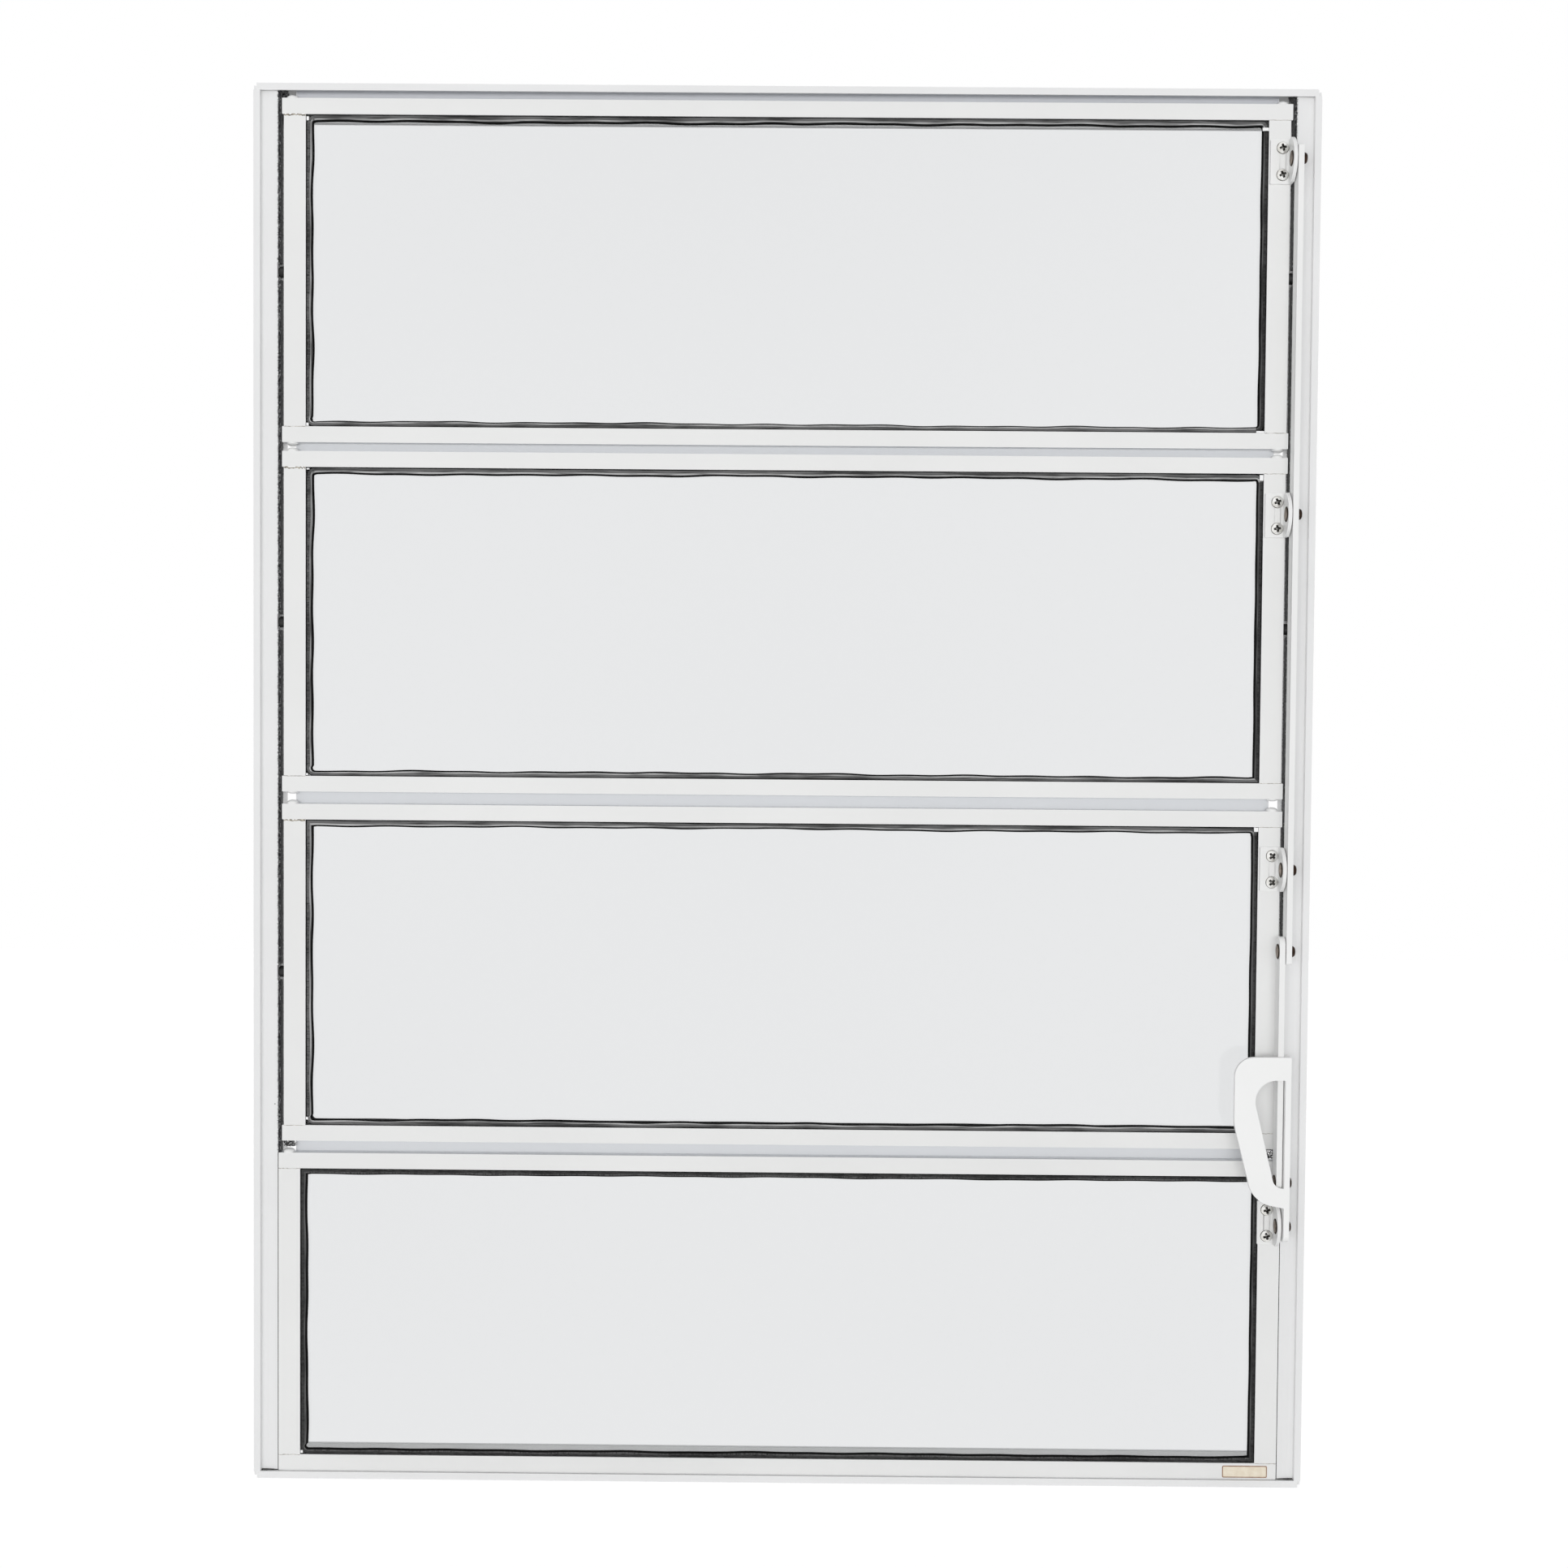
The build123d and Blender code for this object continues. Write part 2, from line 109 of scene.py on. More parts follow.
class Nodes:
    """A material's node tree, with short calls for the nodes that the finishes share."""

    def __init__(self, name):
        self.material = bpy.data.materials.new(name)
        self.material.use_nodes = True
        self.tree = self.material.node_tree
        self.tree.nodes.clear()
        output = self.tree.nodes.new("ShaderNodeOutputMaterial")
        self.shader = self.tree.nodes.new("ShaderNodeBsdfPrincipled")
        self.join(self.shader.outputs[0], output.inputs[0])
        self.place = self.tree.nodes.new("ShaderNodeTexCoord").outputs["Object"]

    def join(self, source, target):
        self.tree.links.new(source, target)

    def put(self, target, value):
        """Links a socket, or sets a plain value."""
        if isinstance(value, bpy.types.NodeSocket):
            self.join(value, target)
        else:
            target.default_value = value

    def stretched(self, scale):
        node = self.tree.nodes.new("ShaderNodeMapping")
        self.join(self.place, node.inputs["Vector"])
        node.inputs["Scale"].default_value = scale
        return node.outputs[0]

    def noise(self, scale, detail=2.0, roughness=0.5, place=None):
        node = self.tree.nodes.new("ShaderNodeTexNoise")
        self.join(place or self.place, node.inputs["Vector"])
        node.inputs["Scale"].default_value = scale
        node.inputs["Detail"].default_value = detail
        node.inputs["Roughness"].default_value = roughness
        return node.outputs["Fac"]

    def ramp(self, value, *stops):
        node = self.tree.nodes.new("ShaderNodeValToRGB")
        self.join(value, node.inputs[0])
        band = node.color_ramp
        while len(band.elements) < len(stops):
            band.elements.new(0.5)
        for element, (position, colour) in zip(band.elements, stops):
            element.position = position
            shade = colour if isinstance(colour, tuple) else (colour,) * 3
            element.color = (*shade, 1.0)
        return node.outputs[0]

    def blend(self, factor, first, second):
        node = self.tree.nodes.new("ShaderNodeMix")
        node.data_type = "RGBA"
        self.put(node.inputs["Factor"], factor)
        self.put(node.inputs[6], first if isinstance(first, bpy.types.NodeSocket) else (*first, 1.0))
        self.put(node.inputs[7], second if isinstance(second, bpy.types.NodeSocket) else (*second, 1.0))
        return node.outputs[2]

    def maths(self, operation, *values):
        node = self.tree.nodes.new("ShaderNodeMath")
        node.operation = operation
        for socket, value in zip(node.inputs, values):
            self.put(socket, value)
        return node.outputs[0]

    def depth(self):
        """How far behind the frame's front a point is: nought there, and one at RECESS_SPAN."""
        split = self.tree.nodes.new("ShaderNodeSeparateXYZ")
        self.join(self.place, split.inputs[0])
        return self.maths("MULTIPLY_ADD", split.outputs[1], 1 / RECESS_SPAN, FRAME_FRONT / RECESS_SPAN)

    def specks(self, scale, size, share):
        """Small round spots, in the given share of cells that are 1 / scale metres wide."""
        node = self.tree.nodes.new("ShaderNodeTexVoronoi")
        self.join(self.place, node.inputs["Vector"])
        node.inputs["Scale"].default_value = scale
        split = self.tree.nodes.new("ShaderNodeSeparateColor")
        self.join(node.outputs["Color"], split.inputs[0])
        near = self.maths("LESS_THAN", node.outputs["Distance"], size)
        chosen = self.maths("LESS_THAN", split.outputs[0], share)
        return self.maths("MULTIPLY", near, chosen)

    def bump(self, height, strength, depth):
        node = self.tree.nodes.new("ShaderNodeBump")
        self.join(height, node.inputs["Height"])
        node.inputs["Strength"].default_value = strength
        node.inputs["Distance"].default_value = depth
        self.join(node.outputs[0], self.shader.inputs["Normal"])

    def set(self, **values):
        for name, value in values.items():
            self.put(self.shader.inputs[name.replace("_", " ")], value)


def srgb(red, green, blue):
    """Linear colour from the 0 to 255 values that a screen shows."""
    return tuple((c / 255 / 12.92) if c / 255 <= 0.04045 else ((c / 255 + 0.055) / 1.055) ** 2.4
                 for c in (red, green, blue))


# Finishes

def paint(name, tone, speck_share=0.05, peel=0.10, recess=None):
    """White powder coat: soft gloss, fine orange peel, faint clouding, a few specks, and painted shade in the
    recesses.
    """
    n = Nodes(name)
    darker = tuple(c * 0.965 for c in tone)
    clouds = n.ramp(n.noise(9.0, 3.0, 0.6), (0.35, 0.0), (0.65, 1.0))
    coat = n.blend(clouds, darker, tone)
    # Painted shade: from 2.5 to 11 mm behind the frame's front the coat turns to the recess colour, darker
    # still where it is shallowest.
    if recess:
        depth = n.depth()
        shade = n.ramp(depth, (0.14, tuple(c * 0.66 for c in recess)), (0.22, recess))
        coat = n.blend(n.ramp(depth, (0.10, 0.0), (0.15, 1.0), (0.34, 1.0), (0.44, 0.0)), coat, shade)
    dust = n.specks(70.0, 0.017, speck_share)
    scuffs = n.specks(24.0, 0.010, 0.14)
    marks = n.maths("MAXIMUM", dust, scuffs)
    colour = n.blend(n.maths("MULTIPLY", marks, 0.62), coat, srgb(96, 92, 86))
    gloss = n.ramp(n.noise(40.0, 2.0), (0.3, 0.30), (0.7, 0.40))
    n.set(Base_Color=colour, Roughness=gloss, Specular_IOR_Level=0.42)
    n.bump(n.noise(1500.0, 2.0, 0.5), peel, 0.00006)
    return n.material


def clear_glass():
    """Float glass with a faint grey tint, a trace of haze and fine dust."""
    n = Nodes("glass_pane")
    smear = n.ramp(n.noise(5.0, 4.0, 0.65), (0.35, 0.0), (0.7, 0.05))
    dust = n.specks(55.0, 0.013, 0.045)
    drift = n.ramp(n.noise(1.8, 1.0), (0.3, 0.0), (0.7, 1.0))
    tint = n.blend(drift, srgb(229, 230, 231), srgb(232, 233, 234))
    colour = n.blend(dust, tint, srgb(120, 116, 108))
    n.set(Base_Color=colour, Roughness=smear, IOR=1.5, Transmission_Weight=1.0)
    return n.material


def rubber(name, dark, light, drawn, gloss):
    """Black glazing rubber, with tones that run along its length; its lighter tones are painted highlight
    streaks.
    """
    n = Nodes(name)
    along = n.noise(1.0, 3.0, 0.6, n.stretched(drawn))
    patches = n.ramp(n.noise(26.0, 2.0, 0.5), (0.3, 0.75), (0.65, 1.25))
    tone = n.ramp(n.maths("MULTIPLY", along, patches), (0.36, dark), (0.64, light))
    n.set(Base_Color=tone, Roughness=n.ramp(along, (0.3, 0.35), (0.7, 0.6)), Specular_IOR_Level=gloss)
    n.bump(along, 0.4, 0.0002)
    return n.material


def pile_fibre(name, dark, middle, light):
    """Grey fibre whose tone changes from strand to strand."""
    n = Nodes(name)
    strand = n.noise(950.0, 3.0, 0.75)
    patch = n.noise(90.0, 3.0, 0.6)
    tone = n.ramp(strand, (0.40, dark), (0.53, middle), (0.66, light))
    n.set(Base_Color=n.blend(n.ramp(patch, (0.42, 0.0), (0.7, 0.35)), tone, dark),
          Roughness=0.85, Specular_IOR_Level=0.2, Sheen_Weight=0.25)
    return n.material


def metal(name, tone, dark, roughness, scale=260.0):
    """Steel with fine wear: the tone shifts in small patches and the gloss with it. It also makes the painted
    shade of the screw recesses and the painted seam shadows.
    """
    n = Nodes(name)
    wear = n.noise(scale, 4.0, 0.65)
    n.set(Base_Color=n.ramp(wear, (0.35, dark), (0.62, tone)), Metallic=0.9,
          Roughness=n.ramp(wear, (0.3, min(1.0, roughness + 0.15)), (0.7, roughness)))
    n.bump(n.noise(1800.0, 2.0), 0.25, 0.00004)
    return n.material


def nylon():
    """Black nylon of the pivots, slightly chalky."""
    n = Nodes("pivot_nylon")
    n.set(Base_Color=n.ramp(n.noise(500.0, 3.0), (0.3, 0.008), (0.7, 0.03)), Roughness=0.55)
    n.bump(n.noise(900.0, 2.0), 0.3, 0.0001)
    return n.material


def sealant():
    """The thin uneven line where a stile meets a rail: shadow, dust and a trace of old sealant."""
    n = Nodes("joint_line")
    change = n.noise(420.0, 3.0, 0.6)
    tone = n.ramp(change, (0.38, srgb(98, 93, 84)), (0.52, srgb(160, 153, 140)), (0.66, srgb(204, 199, 187)))
    n.set(Base_Color=tone, Roughness=0.7)
    return n.material


def label_paper():
    """Plain cream label stock under a slightly worn film."""
    n = Nodes("label_blank")
    n.set(Base_Color=n.ramp(n.noise(300.0, 3.0), (0.3, srgb(230, 217, 195)), (0.7, srgb(243, 233, 214))),
          Roughness=n.ramp(n.noise(150.0, 2.0), (0.3, 0.3), (0.7, 0.5)))
    return n.material


def label_edge():
    """The label's thin brown border."""
    n = Nodes("label_border")
    tone = n.ramp(n.noise(600.0, 3.0), (0.3, srgb(138, 104, 84)), (0.7, srgb(168, 134, 108)))
    n.set(Base_Color=tone, Roughness=0.5)
    return n.material


PAINT_FRAME = paint("paint_frame", srgb(240, 240, 240), 0.07)
# The recess colours of the sash and head paints are painted shade, a bluish grey.
PAINT_SASH = paint("paint_sash", srgb(240, 240, 239), 0.04, recess=srgb(228, 230, 233))
PAINT_HEAD = paint("paint_head", srgb(240, 240, 240), 0.05, recess=srgb(222, 224, 229))
PAINT_HARDWARE = paint("paint_hardware", srgb(244, 244, 243), 0.03, 0.14)
PAINT_LEVER = paint("paint_lever", srgb(251, 251, 250), 0.02, 0.06)
# A near-white for the bevelled edges, a painted highlight along them; the glazing corner bits use it too.
PAINT_EDGE_HIGHLIGHT = paint("paint_edge_highlight", srgb(254, 254, 254), 0.0, 0.02)
PAINT_SCREW = paint("paint_screw", srgb(246, 246, 245), 0.0, 0.1)
GLASS = clear_glass()
DRAWN_LEVEL = (50.0, 1500.0, 1500.0)
DRAWN_UPRIGHT = (1500.0, 1500.0, 50.0)
RIBBED = (350.0, 350.0, 1500.0)
# Gasket faces: the shadow set is painted shade at the junctions with the rail and the glass, and the
# highlight sets are painted highlight on the crowns.
RUBBERS = (rubber("gasket_shadow", 0.002, 0.006, DRAWN_LEVEL, 0.06),
           rubber("gasket_level", 0.020, 0.150, DRAWN_LEVEL, 0.3),
           rubber("gasket_level_highlight", 0.090, 0.480, DRAWN_LEVEL, 0.4),
           rubber("gasket_ribbed", 0.020, 0.130, RIBBED, 0.3),
           rubber("gasket_upright_highlight", 0.060, 0.420, DRAWN_UPRIGHT, 0.4),
           rubber("gasket_dull", 0.008, 0.045, RIBBED, 0.2),
           rubber("gasket_dull_highlight", 0.015, 0.110, DRAWN_UPRIGHT, 0.25))
SHADOW, LEVEL, LEVEL_HIGHLIGHT, RIBS, UPRIGHT_HIGHLIGHT, DULL, DULL_HIGHLIGHT = range(7)
PILE = pile_fibre("pile_fibre", srgb(14, 14, 16), srgb(48, 48, 50), srgb(150, 150, 150))
PALE_PILE = pile_fibre("pale_pile_fibre", srgb(110, 110, 110), srgb(170, 170, 168), srgb(215, 214, 210))
SCREW_STEEL = metal("screw_steel", srgb(250, 250, 248), srgb(222, 220, 214), 0.3)
# Painted shade in the cross recesses and round the rims of the bracket screws.
SCREW_SHADE = metal("screw_painted_shade", srgb(120, 118, 114), srgb(38, 37, 35), 0.4, 900.0)
RIVET_HEAD = metal("rivet_head_steel", srgb(156, 142, 130), srgb(92, 80, 70), 0.36)
RIVET_RIM = metal("rivet_rim_steel", srgb(84, 74, 66), srgb(46, 38, 32), 0.5)
RIVET_TAIL = metal("rivet_tail_steel", srgb(70, 52, 43), srgb(26, 18, 14), 0.5)
# Painted shadow for the dark slabs in the seams beside the fixed panel and at the feet of the coves.
SEAM_SHADOW = metal("seam_shadow", srgb(70, 69, 66), srgb(40, 39, 38), 0.8)
NYLON = nylon()
JOINT_LINE = sealant()
LABEL = label_paper()
LABEL_BORDER = label_edge()


# Shape helpers

def add_piece(name, bm, slot_name, *materials, angle=35.0):
    """Turns a bmesh into a piece that rides on the window."""
    bmesh.ops.recalc_face_normals(bm, faces=bm.faces)
    mesh = bpy.data.meshes.new(name)
    bm.to_mesh(mesh)
    bm.free()
    for polygon in mesh.polygons:
        polygon.use_smooth = True
    mesh.set_sharp_from_angle(angle=math.radians(angle))
    for material in materials:
        mesh.materials.append(material)
    obj = bpy.data.objects.new(name, mesh)
    bpy.context.scene.collection.objects.link(obj)
    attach(obj, "root")
    return obj


def join_rings(bm, rings, material=0):
    """Faces between closed rings of points; a ring of one point closes an end."""
    for low, high in zip(rings, rings[1:]):
        count = max(len(low), len(high))
        for k in range(count):
            following = (k + 1) % count
            if len(low) == 1:
                corners = (low[0], high[k], high[following])
            elif len(high) == 1:
                corners = (low[k], low[following], high[0])
            else:
                corners = (low[k], low[following], high[following], high[k])
            bm.faces.new(corners).material_index = material


def lathe(bm, profile, place, segments=36, material=0):
    """Turns a profile of (along, radius), in millimetres, round the Z axis of place."""
    rings = []
    for along, radius in profile:
        if radius == 0:
            rings.append([bm.verts.new(place @ Vector((0, 0, along * MM)))])
            continue
        turns = [2 * math.pi * k / segments for k in range(segments)]
        rings.append([bm.verts.new(place @ Vector((radius * MM * math.cos(a), radius * MM * math.sin(a),
                                                   along * MM))) for a in turns])
    join_rings(bm, rings, material)


def facing(point, direction, spin=0.0):
    """A placement at a point, in millimetres, whose Z axis looks along a direction."""
    turn = Vector(direction).to_track_quat("Z", "Y").to_matrix().to_4x4()
    return Matrix.Translation(Vector(point) * MM) @ turn @ Matrix.Rotation(spin, 4, "Z")


def box_mm(node):
    low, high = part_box(node)
    return [c / MM for c in low], [c / MM for c in high]


# Screws

def dome(radius, head_radius, height):
    """Height of a pan head at a distance from its middle."""
    share = min(1.0, radius / head_radius)
    return height * (0.30 + 0.70 * (1 - share ** 3.2) ** 0.6)


def round_head(bm, place, head_radius, height):
    """A plain round head, closed underneath."""
    turns = [math.pi / 2 * k / 8 for k in range(9)]
    profile = [(height * (0.12 + 0.88 * math.cos(a)), head_radius * math.sin(a)) for a in turns]
    lathe(bm, profile + [(0.0, head_radius * 0.97), (0.0, 0)], place, 40)


def cross_head(bm, place, head_radius, height, shank):
    """A pan head with a cross recess, on a short shank."""
    arm, half = 2.05, 0.6
    arm_points = ((arm, -half), (arm * 1.04, 0.0), (arm, half), (half * 1.25, half * 1.25))
    corners = []
    for quarter in range(4):
        turn = Matrix.Rotation(quarter * math.pi / 2, 2)
        corners += [turn @ Vector(p) for p in arm_points]
    outline = []
    for start, end in zip(corners, corners[1:] + corners[:1]):
        outline += [start.lerp(end, k / 3) for k in range(3)]
    rim = [p.normalized() * head_radius for p in outline]

    def ring(points, heights):
        return [bm.verts.new(place @ (Vector((p.x, p.y, h)) * MM)) for p, h in zip(points, heights)]

    def domed(share):
        points = [p.lerp(r, share) for p, r in zip(outline, rim)]
        return ring(points, [dome(p.length, head_radius, height) for p in points])

    def level(scale, z):
        return ring([p * scale for p in outline], [z] * len(outline))

    def flat(points, z):
        return ring(points, [z] * len(points))

    tip = [bm.verts.new(place @ Vector((0, 0, (height - 1.2) * MM)))]
    floor, wall, lip = level(0.34, height - 1.6), level(0.78, height - 0.9), level(0.95, height - 0.25)
    join_rings(bm, [tip, floor])
    # The recess walls and floor take the second material, painted shade.
    join_rings(bm, [floor, wall, lip], 1)
    rings = [lip, domed(0.0)] + [domed(share) for share in (0.12, 0.4, 0.65, 0.8, 0.89)]
    join_rings(bm, rings)
    # A thin ring at the rim, in the same painted shade, outlines the head as a painted shadow.
    outer = domed(1.0)
    join_rings(bm, [rings[-1], outer], 1)
    neck = [p.normalized() * SCREW_SHANK_RADIUS for p in rim]
    rings = [outer, flat(rim, 0.1), flat([p * 0.97 for p in rim], 0.0), flat(neck, 0.0), flat(neck, -shank),
             [bm.verts.new(place @ Vector((0, 0, -shank * MM)))]]
    join_rings(bm, rings)


def make_bracket_screws():
    rng = random.Random(4)
    for panel in PANELS:
        low, high = box_mm(f"{panel}_bracket")
        middle = (low[2] + high[2]) / 2
        bm = bmesh.new()
        for side in SIDES:
            point = (high[0] - SCREW_INSET, high[1] - BRACKET_WALL, middle + side * SCREW_SPACING / 2)
            cross_head(bm, facing(point, (0, -1, 0), rng.uniform(0.1, 0.9)), 3.45, 2.0, 1.9)
        add_piece(f"{panel}_bracket_screws", bm, "rivet_steel", SCREW_STEEL, SCREW_SHADE, angle=28.0)


def make_rail_screws():
    """Screws down through the ends of the top rails, and up through those of the upper bottom rails."""
    for panel in PANELS:
        low, high = box_mm(f"{panel}_top_rail")
        bm = bmesh.new()
        for side in SIDES:
            across = side * (high[0] - RAIL_SCREW_INSET)
            if panel != "fixed" or side < 0:
                round_head(bm, facing((across, low[1] + RAIL_SCREW_DEPTH, high[2]), (0, 0, 1)), 3.4, 2.2)
            if panel in ("sash_1", "sash_2"):
                bottom = box_mm(f"{panel}_glass")[0][2] + 3.4 - RAIL_HEIGHT
                round_head(bm, facing((across, low[1] + RAIL_SCREW_DEPTH, bottom), (0, 0, -1)), 3.25, 1.3)
        add_piece(f"{panel}_rail_screws", bm, "white_aluminium", PAINT_SCREW)


# Rivets

def rivet(bm, left_face, left_end, right_start, right_face, line, height):
    """A low domed head on the left, a collar between the two bars and a set tail on the right."""
    place = facing((0, line, height), (1, 0, 0))
    crown = [(left_face - 0.75, 0), (left_face - 0.73, 1.4), (left_face - 0.66, 2.6), (left_face - 0.52, 3.4)]
    rim = [(left_face - 0.52, 3.4), (left_face - 0.34, 4.1), (left_face - 0.1, 4.35), (left_face, 4.3),
           (left_face, 2.0)]
    middle = [(left_face, 2.0), (left_end, 2.0), (left_end, 3.2), (right_start, 3.2), (right_start, 2.0),
              (right_face, 2.0)]
    tail = [(right_face, 2.0), (right_face, 3.45), (right_face + 0.12, 3.5), (right_face + 1.7, 2.95),
            (right_face + 2.2, 2.6), (right_face + 2.45, 2.1), (right_face + 2.5, 1.3),
            (right_face + 2.15, 1.0), (right_face + 2.1, 0)]
    lathe(bm, crown, place)
    lathe(bm, rim, place, material=2)
    lathe(bm, middle, place)
    lathe(bm, tail, place, material=1)


def make_rivets():
    bar_low, bar_high = box_mm("drive_bar")
    link_low, link_high = box_mm("link_bar")
    ear_right = box_mm("sash_1_bracket")[1][0]
    ear_left = ear_right - BRACKET_WALL
    line = (bar_low[1] + bar_high[1]) / 2
    arms = []
    for sash in SASHES:
        low, high = box_mm(f"{sash}_bracket")
        arms.append((low[2] + high[2]) / 2)
    link_ends = (link_low[2] + BAR_WIDTH / 2, bar_low[2] + BAR_END)
    pivot = box_mm("handle_lever")[0][2] + LEVER_END
    groups = (("sash_arm_rivets", ear_left, ear_right, arms),
              ("link_rivets", link_low[0], link_high[0], link_ends),
              ("lever_pivot_rivet", ear_left, ear_right, (pivot,)))
    for node, left, right, heights in groups:
        bm = bmesh.new()
        for height in heights:
            rivet(bm, left, right, bar_low[0], bar_high[0], line, height)
        bmesh.ops.remove_doubles(bm, verts=bm.verts, dist=1e-7)
        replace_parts(add_piece(f"{node}_set", bm, "rivet_steel", RIVET_HEAD, RIVET_TAIL, RIVET_RIM), node)


# Gaskets

# Points of each lip: how far into the opening, depth, looseness, and the zone of the face that follows
FRONT_LIP = ((-0.6, -15.55, 0, 0), (0.05, -16.9, 0, 0), (0.15, -17.5, 0, 0), (0.55, -18.05, 0.2, 1),
             (1.2, -18.35, 0.4, 1), (1.9, -18.3, 0.5, 1), (2.3, -18.0, 0.6, 2), (2.75, -17.9, 0.75, 2),
             (3.25, -17.7, 0.9, 0), (3.7, -17.3, 1, 0), (4.15, -16.8, 1, 0), (4.3, -16.2, 1, 0),
             (4.05, -15.62, 0.7, 0))
BACK_LIP = ((-0.6, -11.65, 0, 0), (0.1, -10.2, 0, 0), (0.15, -9.8, 0, 1), (0.6, -9.65, 0.2, 1),
            (1.4, -9.65, 0.5, 1), (2.1, -9.85, 0.7, 0), (2.4, -10.6, 0.8, 0), (2.3, -11.58, 0.6, 0))
# Zones of a lip's faces on the top and bottom, on the left and on the right: painted shade, body and painted
# highlight
SASH_ZONES = {"top": (SHADOW, LEVEL, LEVEL_HIGHLIGHT), "bottom": (SHADOW, LEVEL, LEVEL_HIGHLIGHT),
              "left": (SHADOW, RIBS, UPRIGHT_HIGHLIGHT), "right": (SHADOW, DULL, DULL_HIGHLIGHT)}
FIXED_ZONES = {side: (SHADOW, DULL, DULL_HIGHLIGHT) for side in SASH_ZONES}
FRONT_SHARES = {"top": 0.90, "bottom": 0.80, "left": 0.96, "right": 0.84}
BACK_SHARES = {"top": 0.90, "bottom": 1.15, "left": 0.90, "right": 0.84}
FIXED_SHARES = {"top": 0.88, "bottom": 0.72, "left": 0.96, "right": 0.84}
FIXED_BACK_SHARES = {"top": 0.5, "bottom": 0.3, "left": 0.5, "right": 0.5}
LOOSENESS = {"top": 0.34, "bottom": 0.36, "left": 0.42, "right": 0.14}
CORNER_BITE = 4.7
# Waves round an opening, from the fewest to the most, for each of the four that are added up
WAVE_COUNTS = ((3, 5), (9, 15), (17, 26), (30, 44))

# White bits that show where a gasket is cut short: side, end, then spans from the stile and from the rail
CORNER_BITS = {"fixed": ((-1, -1, 0.3, 1.5, 0.8, 2.3),),
               "sash_1": ((-1, 1, 0.4, 1.7, 1.3, 3.4), (-1, -1, 0.3, 1.6, 0.3, 2.0),
                          (1, 1, 0.1, 3.5, 4.2, 5.9), (1, -1, 0.2, 4.6, 0.1, 1.1)),
               "sash_2": ((-1, 1, 0.5, 2.0, 0.7, 1.4), (-1, -1, 0.3, 1.3, 0.4, 1.5),
                          (1, 1, 0.3, 2.3, 0.7, 3.9)),
               "sash_3": ((-1, -1, 0.2, 1.5, 3.2, 4.6), (1, 1, 0.2, 2.5, 0.3, 2.7))}


def gasket_path(left, right, bottom, top, rounded):
    """Stations round the opening: their place, way inward, corner radius, turn and side."""
    stations = []
    corners = ((right, top, 1, 1), (left, top, -1, 1), (left, bottom, -1, -1), (right, bottom, 1, -1))
    sides = ("top", "left", "bottom", "right")
    for number, (x, z, side, end) in enumerate(corners):
        bite = CORNER_BITE if (side, end) in rounded else 0.0
        start = number * math.pi / 2
        turns = [start + math.pi / 2 * k / 4 for k in range(5)] if bite else [start + math.pi / 4]
        for turn in turns:
            stations.append((Vector((x, 0, z)), Vector((-side, 0, -end)), bite, turn, sides[number]))
        following = corners[(number + 1) % 4]
        run = Vector((following[0] - x, 0, following[1] - z))
        steps = int(run.length / 3.0)
        for k in range(2, steps - 1):
            point = Vector((x, 0, z)) + run * (k / steps)
            inward = Vector((-side, 0, 0)) if run.x == 0 else Vector((0, 0, -end))
            stations.append((point, inward, None, 0.0, sides[number]))
    return stations


def station_point(station, into):
    """Where a point of the lip stands at a station, the given distance into the opening."""
    point, inward, bite, turn, _ = station
    if bite is None:
        return point + inward * into
    centre = point + inward * max(bite, into)
    return centre + Vector((math.cos(turn), 0, math.sin(turn))) * max(bite - into, 0.0)


def lip_loop(bm, section, shares, stations, zones, rng, slack):
    """A lip pressed in round the whole opening by hand, so it wanders a little."""
    count = len(stations)
    waves = [(rng.randint(low, high), rng.uniform(0, 6.28)) for low, high in WAVE_COUNTS]
    rings = []
    for number, station in enumerate(stations):
        side = station[4]
        around = 2 * math.pi * number / count
        wave = slack * LOOSENESS[side] * sum(math.sin(around * rate + phase) for rate, phase in waves) / 2
        ring = []
        for into, depth, loose, _ in section:
            point = station_point(station, into * shares[side] + loose * wave)
            ring.append(bm.verts.new(Vector((point.x, depth + min(0.5, loose) * wave * 0.6, point.z)) * MM))
        rings.append(ring)
    size = len(section)
    for number, station in enumerate(stations):
        low, high = rings[number], rings[(number + 1) % count]
        for k in range(size):
            face = bm.faces.new((low[k], low[(k + 1) % size], high[(k + 1) % size], high[k]))
            face.material_index = zones[station[4]][section[k][3]]


